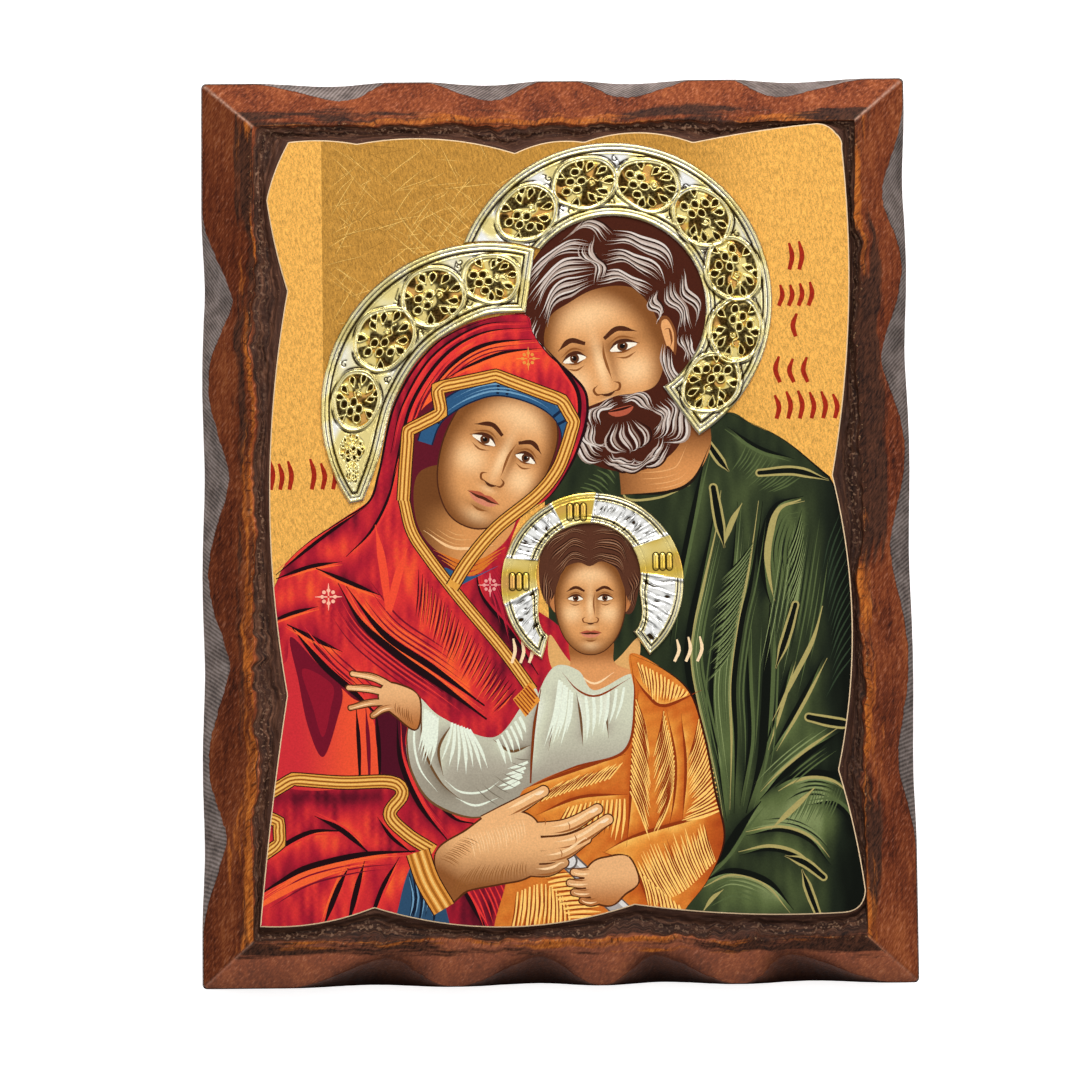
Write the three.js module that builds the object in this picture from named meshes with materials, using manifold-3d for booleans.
// Icon panel: a bevelled wood board with scalloped edges, a printed picture glued to its front
// and three embossed metal haloes laid on the print. Millimetres. The panel lies on its back:
// the back is z = 0, the picture faces +Z, and the picture's top points to +Y.

import * as THREE from 'three';
import { mergeVertices } from 'three/addons/utils/BufferGeometryUtils.js';
import Module from 'manifold-3d';

const wasm = await Module();
wasm.setup();

// Board: overall size and the heights of its carved levels.
const BOARD_WIDTH = 180;
const BOARD_HEIGHT = 230;
const BEVEL_LOW_Z = 12.5;
const ARRIS_Z = 19.5;
const STEP_FOOT_Z = 18;
const TRENCH_Z = 17;
const PLATEAU_Z = 18.5;

// The bevel runs from the outline up to the arris, at these insets from the sides and the ends.
const ARRIS_INSET_X = 13.5;
const ARRIS_INSET_Y = 12.3;

// Inside the arris: where the step's foot, the trench floor and the plateau's edge lie on the way
// from the arris (0) to the edge of the print (1).
const STEP_FOOT_SHARE = 0.14;
const TRENCH_SHARE = 0.55;
const PLATEAU_SHARE = 0.93;

// Saw cuts scallop the outer edge: [place along the side, depth], with the depth left on the hills.
const SAW_SLOPE = 1.35;
const SAW_LEAST = 0.35;
const SAW_CORNER = 22;
const SCOOPS = {
  bottom: { hill: 0.2, sharpness: 1.3, cuts: [[-48, 8.2], [-5.5, 8.3], [26, 8.3], [63.5, 8.2]] },
  right: { hill: 2.6, sharpness: 1.2, cuts: [[-62, 4.8], [-6.5, 6], [45, 7.6], [89, 6.6]] },
  top: { hill: -0.8, sharpness: 1.5, cuts: [[-57.5, 5.6], [-17, 5.9], [20, 5.3], [61.5, 5.5]] },
  left: { hill: 2.6, sharpness: 1.1, cuts: [[-82, 6.7], [-36.5, 7.7], [14, 7.6], [62.5, 8.6]] },
};

// The print's cut edge, anticlockwise from its lower left corner: each side is a row of notches
// [x, y, bulge of the arc to the next notch], and the next side's first notch closes it.
const PRINT_THICKNESS = 0.5;
const PRINT_EDGE = {
  bottom: [[-74.8, -99, 1.6], [-46.4, -94.6, 5.2], [18.5, -94.4, 1.3], [70.3, -96.9, 1.8]],
  right: [[76.1, -91.3, 0.6], [69.9, -61.4, 4.2], [69.5, 12.5, 2.9], [73.2, 95.6, 0.6]],
  top: [[71.7, 99.4, 0.7], [66.7, 102, 0.4], [35.4, 97.4, 2.5], [7.8, 97.7, 1.4], [-9.7, 95, 2.5],
    [-49.7, 97.7, 0.7]],
  left: [[-67.1, 98.3, 0.6], [-72.7, 83.5, 0.5], [-67.5, 60.3, 4.5], [-67.9, -41.5, 0.5]],
};

// Stations round the board: on each end and on each long side.
const END_STATIONS = 40;
const SIDE_STATIONS = 50;

// Haloes: height levels of the embossed sheet above the print.
const HALO_EDGE = 0.5;
const HALO_RIM = 1.3;
const HALO_GROOVE = 0.8;
const HALO_BEAD = 1.1;
const HALO_FIELD = 0.6;
const HALO_GAP = 0.3;

// Across the sheet from its outer edge (0) to its inner edge (1): [share, height].
const SCROLL_PROFILE = [
  [0, HALO_EDGE], [0.03, HALO_RIM], [0.07, HALO_GROOVE], [0.11, HALO_BEAD], [0.16, HALO_FIELD],
  [0.86, HALO_FIELD], [0.9, HALO_BEAD], [0.93, HALO_GROOVE], [0.96, HALO_RIM], [1, HALO_EDGE],
];

// Right-hand halo: ring segment from its lower right end, anticlockwise to its upper left end.
const RIGHT_HALO = {
  outer: new THREE.Vector2(14.5, 57),
  outerRadius: 40.4,
  inner: new THREE.Vector2(14.6, 55.1),
  innerRadius: 23.5,
  start: -58,
  end: 166,
  steps: 60,
  roundels: [-39, -12, 16, 44, 73, 102, 132],
  roundelRadius: 6.6,
};

// Left-hand halo: crescent from its right end, anticlockwise to its lower tip.
const LEFT_HALO = {
  outer: new THREE.Vector2(-16.9, 29.9),
  outerRadius: 42.3,
  start: 73.5,
  end: 214,
  innerEdge: [[-7.4, 54.2], [-18.7, 53.1], [-32, 45.2], [-40.5, 32.2], [-44.6, 17.5], [-48.6, 7]],
  steps: 44,
  roundels: [[0.13, 5.4], [0.34, 7], [0.57, 7], [0.755, 5.2]],
};

// Middle halo: ring open at the bottom, with three flat arms and rayed sectors between them.
const MIDDLE_HALO = {
  outer: new THREE.Vector2(8.8, -14.3),
  outerRadius: 22.9,
  inner: new THREE.Vector2(7.8, -12.2),
  innerRadius: 13,
  innerFlare: 5,
  flareAngle: 40,
  start: -52,
  end: 236,
  steps: 72,
  arms: [17, 102, 178],
  armHalfAngle: 15,
  armHeight: 1,
  rayHeight: 1.1,
  rayGroove: 0.55,
  strokes: 3,
  strokeSize: new THREE.Vector3(3.6, 0.7, 0.8),
  strokePitch: 1.7,
};

const PRINT_TOP_Z = PLATEAU_Z + PRINT_THICKNESS;

const radians = THREE.MathUtils.degToRad;
const lerp = THREE.MathUtils.lerp;
const smoothstep = THREE.MathUtils.smoothstep;

function onCircle(centre, radius, angle) {
  return new THREE.Vector2(
    centre.x + radius * Math.cos(radians(angle)),
    centre.y + radius * Math.sin(radians(angle)),
  );
}

// A geometry from its corner points and triangles, with shared points merged.
function closedGeometry(points, triangles) {
  const geometry = new THREE.BufferGeometry();
  geometry.setFromPoints(points);
  geometry.setIndex(triangles.flat());
  return mergeVertices(geometry, 1e-4);
}

function toSolid(geometry) {
  const bare = geometry.clone();
  bare.deleteAttribute('normal');
  bare.deleteAttribute('uv');
  const merged = mergeVertices(bare, 1e-4);
  return new wasm.Manifold(new wasm.Mesh({
    numProp: 3,
    vertProperties: new Float32Array(merged.attributes.position.array),
    triVerts: new Uint32Array(merged.index.array),
  }));
}

function toGeometry(solid) {
  const mesh = solid.getMesh();
  const geometry = new THREE.BufferGeometry();
  geometry.setAttribute('position', new THREE.BufferAttribute(mesh.vertProperties, 3));
  geometry.setIndex(new THREE.BufferAttribute(mesh.triVerts, 1));
  return geometry;
}

// Skin over closed rings of equal length, each anticlockwise from above, from the back's outline
// up round the edge to the front's innermost ring, with a flat fan over the first and the last.
function loftRings(rings) {
  const count = rings[0].length;
  const points = rings.flat();
  const triangles = [];
  for (let ring = 0; ring + 1 < rings.length; ring += 1) {
    for (let i = 0; i < count; i += 1) {
      const next = (i + 1) % count;
      const low = ring * count;
      const high = low + count;
      triangles.push([low + i, low + next, high + next]);
      triangles.push([low + i, high + next, high + i]);
    }
  }
  const last = (rings.length - 1) * count;
  const backCentre = points.push(new THREE.Vector3(0, 0, rings[0][0].z)) - 1;
  const frontCentre = points.push(new THREE.Vector3(0, 0, rings.at(-1)[0].z)) - 1;
  for (let i = 0; i < count; i += 1) {
    const next = (i + 1) % count;
    triangles.push([backCentre, next, i]);
    triangles.push([frontCentre, last + i, last + next]);
  }
  return closedGeometry(points, triangles);
}

// Skin over open rows of section points, each section closed along its flat base and both end
// sections capped. Sections run anticlockwise about the halo, points from the outer edge inwards.
function loftSections(sections, profile) {
  const count = sections[0].length;
  const points = sections.flat();
  const triangles = [];
  for (let row = 0; row + 1 < sections.length; row += 1) {
    for (let i = 0; i < count; i += 1) {
      const next = (i + 1) % count;
      const here = row * count;
      const ahead = here + count;
      triangles.push([here + i, ahead + i, ahead + next]);
      triangles.push([here + i, ahead + next, here + next]);
    }
  }
  const last = (sections.length - 1) * count;
  for (const [a, b, c] of THREE.ShapeUtils.triangulateShape(profile, [])) {
    triangles.push([a, c, b]);
    triangles.push([last + a, last + b, last + c]);
  }
  return closedGeometry(points, triangles);
}

// Inset of the saw cut at a place along a side: arcs of hills between cuts, each side's end cuts
// mirrored past its corners, and the cut fading out towards both corners.
function sawInset(side, place, halfLength) {
  const first = side.cuts[0];
  const final = side.cuts.at(-1);
  const cuts = [[-2 * halfLength - first[0], first[1]], ...side.cuts,
    [2 * halfLength - final[0], final[1]]];
  const after = cuts.findIndex(([at]) => at > place);
  const [from, fromDepth] = cuts[after - 1];
  const [to, toDepth] = cuts[after];
  const share = (place - from) / (to - from);
  const valley = 1 - Math.sin(Math.PI * share) ** side.sharpness;
  const inset = side.hill + (lerp(fromDepth, toDepth, share) - side.hill) * valley;
  const fade = smoothstep(halfLength - Math.abs(place), 0, SAW_CORNER);
  return Math.max(SAW_LEAST, lerp(SAW_LEAST, inset, fade));
}

// One side of the print as a path of quadratic arcs from notch to notch.
function printSide(notches, closing) {
  const path = new THREE.Path();
  const ends = [...notches.slice(1), closing];
  notches.forEach(([x, y, bulge], i) => {
    const from = new THREE.Vector2(x, y);
    const to = new THREE.Vector2(ends[i][0], ends[i][1]);
    const outwards = new THREE.Vector2(to.y - from.y, from.x - to.x).normalize();
    const control = from.clone().lerp(to, 0.5).addScaledVector(outwards, 2 * bulge);
    path.curves.push(new THREE.QuadraticBezierCurve(from, control, to));
  });
  return path;
}

// Stations round the board, anticlockwise from the lower left corner. Each holds the outline
// point, the arris point inside it, the print's edge and the saw cut's inset as a share of the bevel.
function boardStations() {
  const halfX = BOARD_WIDTH / 2;
  const halfY = BOARD_HEIGHT / 2;
  const corners = [[-1, -1], [1, -1], [1, 1], [-1, 1]];
  const names = ['bottom', 'right', 'top', 'left'];
  const stations = [];
  names.forEach((name, k) => {
    const nextName = names[(k + 1) % names.length];
    const edge = printSide(PRINT_EDGE[name], PRINT_EDGE[nextName][0]);
    const count = k % 2 ? SIDE_STATIONS : END_STATIONS;
    const halfLength = k % 2 ? halfY : halfX;
    const arrisInset = k % 2 ? ARRIS_INSET_X : ARRIS_INSET_Y;
    const from = corners[k];
    const to = corners[(k + 1) % corners.length];
    for (let i = 0; i < count; i += 1) {
      const share = i / count;
      const signX = lerp(from[0], to[0], share);
      const signY = lerp(from[1], to[1], share);
      const outline = new THREE.Vector2(signX * halfX, signY * halfY);
      const arris = new THREE.Vector2(
        signX * (halfX - ARRIS_INSET_X),
        signY * (halfY - ARRIS_INSET_Y),
      );
      const place = k % 2 ? outline.y : outline.x;
      stations.push({
        outline,
        arris,
        print: edge.getPointAt(share),
        cut: sawInset(SCOOPS[name], place, halfLength) / arrisInset,
        cutDepth: sawInset(SCOOPS[name], place, halfLength),
      });
    }
  });
  return stations;
}

const stations = boardStations();

function ringAt(place, height) {
  return stations.map((station) => {
    const point = place(station);
    return new THREE.Vector3(point.x, point.y, height(station));
  });
}

// Board: back, side wall up to the foot of the saw cut, saw cut, bevel, arris, step, trench, plateau.
function boardGeometry() {
  const bevelZ = (share) => lerp(BEVEL_LOW_Z, ARRIS_Z, share);
  const inside = (share) => (station) => station.arris.clone().lerp(station.print, share);
  return loftRings([
    ringAt((station) => station.outline, () => 0),
    ringAt((station) => station.outline, (station) => bevelZ(station.cut) - SAW_SLOPE * station.cutDepth),
    ringAt((station) => station.outline.clone().lerp(station.arris, station.cut),
      (station) => bevelZ(station.cut)),
    ringAt((station) => station.arris, () => ARRIS_Z),
    ringAt(inside(STEP_FOOT_SHARE), () => STEP_FOOT_Z),
    ringAt(inside(TRENCH_SHARE), () => TRENCH_Z),
    ringAt(inside(PLATEAU_SHARE), () => PLATEAU_Z),
  ]);
}

// Print: a flat sheet cut along the notched edge.
function printGeometry() {
  return loftRings([
    ringAt((station) => station.print, () => PLATEAU_Z),
    ringAt((station) => station.print, () => PRINT_TOP_Z),
  ]);
}

// One halo section between its outer and inner edge points, at the given [share, height] profile.
function haloSection(outer, inner, profile) {
  const row = profile.map(([share, height]) => {
    const point = outer.clone().lerp(inner, share);
    return new THREE.Vector3(point.x, point.y, PRINT_TOP_Z + height);
  });
  row.push(new THREE.Vector3(inner.x, inner.y, PRINT_TOP_Z));
  row.unshift(new THREE.Vector3(outer.x, outer.y, PRINT_TOP_Z));
  return row;
}

function sectionOutline(profile) {
  const outline = profile.map(([share, height]) => new THREE.Vector2(share, height));
  return [new THREE.Vector2(0, 0), ...outline, new THREE.Vector2(1, 0)];
}

// Roundel: a raised ring round a dished field with a boss at its middle.
function roundelSolid(centre, radius) {
  const profile = [
    [0, 0], [1, 0], [1, HALO_GROOVE], [0.9, HALO_RIM], [0.78, HALO_GROOVE], [0.4, HALO_GROOVE],
    [0.22, HALO_BEAD], [0, HALO_RIM],
  ];
  const points = profile.map(([share, height]) => new THREE.Vector2(share * radius, height));
  const geometry = new THREE.LatheGeometry(points, 16);
  geometry.rotateX(Math.PI / 2);
  geometry.translate(centre.x, centre.y, PRINT_TOP_Z);
  return toSolid(geometry);
}

function scrollHalo(edgePoints, roundels) {
  const sections = edgePoints.map(([outer, inner]) => haloSection(outer, inner, SCROLL_PROFILE));
  const sheet = toSolid(loftSections(sections, sectionOutline(SCROLL_PROFILE)));
  return roundels.reduce((solid, roundel) => solid.add(roundelSolid(...roundel)), sheet);
}

function rightHaloGeometry() {
  const halo = RIGHT_HALO;
  const edges = [];
  for (let i = 0; i <= halo.steps; i += 1) {
    const angle = lerp(halo.start, halo.end, i / halo.steps);
    edges.push([
      onCircle(halo.outer, halo.outerRadius, angle),
      onCircle(halo.inner, halo.innerRadius, angle),
    ]);
  }
  const middle = (angle) => onCircle(halo.outer, halo.outerRadius, angle)
    .lerp(onCircle(halo.inner, halo.innerRadius, angle), 0.51);
  const roundels = halo.roundels.map((angle) => [middle(angle), halo.roundelRadius]);
  // Its upper left end is cut to the left-hand halo's rim, with a small gap.
  const cutter = new THREE.CylinderGeometry(
    LEFT_HALO.outerRadius + HALO_GAP,
    LEFT_HALO.outerRadius + HALO_GAP,
    PRINT_TOP_Z * 4,
    96,
  );
  cutter.rotateX(Math.PI / 2);
  cutter.translate(LEFT_HALO.outer.x, LEFT_HALO.outer.y, 0);
  return toGeometry(scrollHalo(edges, roundels).subtract(toSolid(cutter)));
}

function leftHaloGeometry() {
  const halo = LEFT_HALO;
  const innerEdge = new THREE.SplineCurve(halo.innerEdge.map(([x, y]) => new THREE.Vector2(x, y)));
  const edgesAt = (share) => [
    onCircle(halo.outer, halo.outerRadius, lerp(halo.start, halo.end, share)),
    innerEdge.getPointAt(share),
  ];
  const edges = [];
  for (let i = 0; i <= halo.steps; i += 1) {
    edges.push(edgesAt(i / halo.steps));
  }
  const roundels = halo.roundels.map(([share, radius]) => {
    const [outer, inner] = edgesAt(share);
    return [outer.lerp(inner, 0.51), radius];
  });
  return toGeometry(scrollHalo(edges, roundels));
}

// Height of the middle halo's field: flat on the arms, ridged by rays between them.
function middleField(angle, step) {
  const halo = MIDDLE_HALO;
  const onArm = halo.arms.some((arm) => Math.abs(angle - arm) < halo.armHalfAngle);
  if (onArm) {
    return halo.armHeight;
  }
  return step % 2 ? halo.rayHeight : halo.rayGroove;
}

function middleHaloGeometry() {
  const halo = MIDDLE_HALO;
  const sections = [];
  let outline = [];
  for (let i = 0; i <= halo.steps; i += 1) {
    const angle = lerp(halo.start, halo.end, i / halo.steps);
    const field = middleField(angle, i);
    const fromEnd = Math.min(angle - halo.start, halo.end - angle);
    const innerRadius = halo.innerRadius + halo.innerFlare * (1 - smoothstep(fromEnd, 0, halo.flareAngle));
    const profile = [
      [0, HALO_EDGE], [0.05, HALO_RIM], [0.13, HALO_GROOVE], [0.2, field], [0.9, field],
      [0.95, HALO_BEAD], [1, HALO_EDGE],
    ];
    outline = sectionOutline(profile);
    sections.push(haloSection(
      onCircle(halo.outer, halo.outerRadius, angle),
      onCircle(halo.inner, innerRadius, angle),
      profile,
    ));
  }
  let solid = toSolid(loftSections(sections, outline));
  for (const arm of halo.arms) {
    for (let i = 0; i < halo.strokes; i += 1) {
      const size = halo.strokeSize;
      const stroke = new THREE.BoxGeometry(size.x, size.y, size.z);
      const across = (i - (halo.strokes - 1) / 2) * halo.strokePitch;
      const middle = onCircle(halo.outer, (halo.outerRadius + halo.innerRadius) / 2, arm);
      stroke.translate(0, across, PRINT_TOP_Z + halo.armHeight);
      stroke.rotateZ(radians(arm));
      stroke.translate(middle.x, middle.y, 0);
      solid = solid.add(toSolid(stroke));
    }
  }
  return toGeometry(solid);
}

function piece(name, geometry, finish) {
  const mesh = new THREE.Mesh(geometry, new THREE.MeshStandardMaterial(finish));
  mesh.name = name;
  return mesh;
}

const HALO_FINISH = { color: 0xc9a24a, roughness: 0.3, metalness: 1 };

const panel = new THREE.Group();
panel.add(
  piece('board', boardGeometry(), { color: 0x5e2c18, roughness: 0.6, metalness: 0 }),
  piece('print', printGeometry(), { color: 0xb8892f, roughness: 0.7, metalness: 0 }),
  piece('halo_left', leftHaloGeometry(), HALO_FINISH),
  piece('halo_right', rightHaloGeometry(), HALO_FINISH),
  piece('halo_middle', middleHaloGeometry(), HALO_FINISH),
);

export default panel;
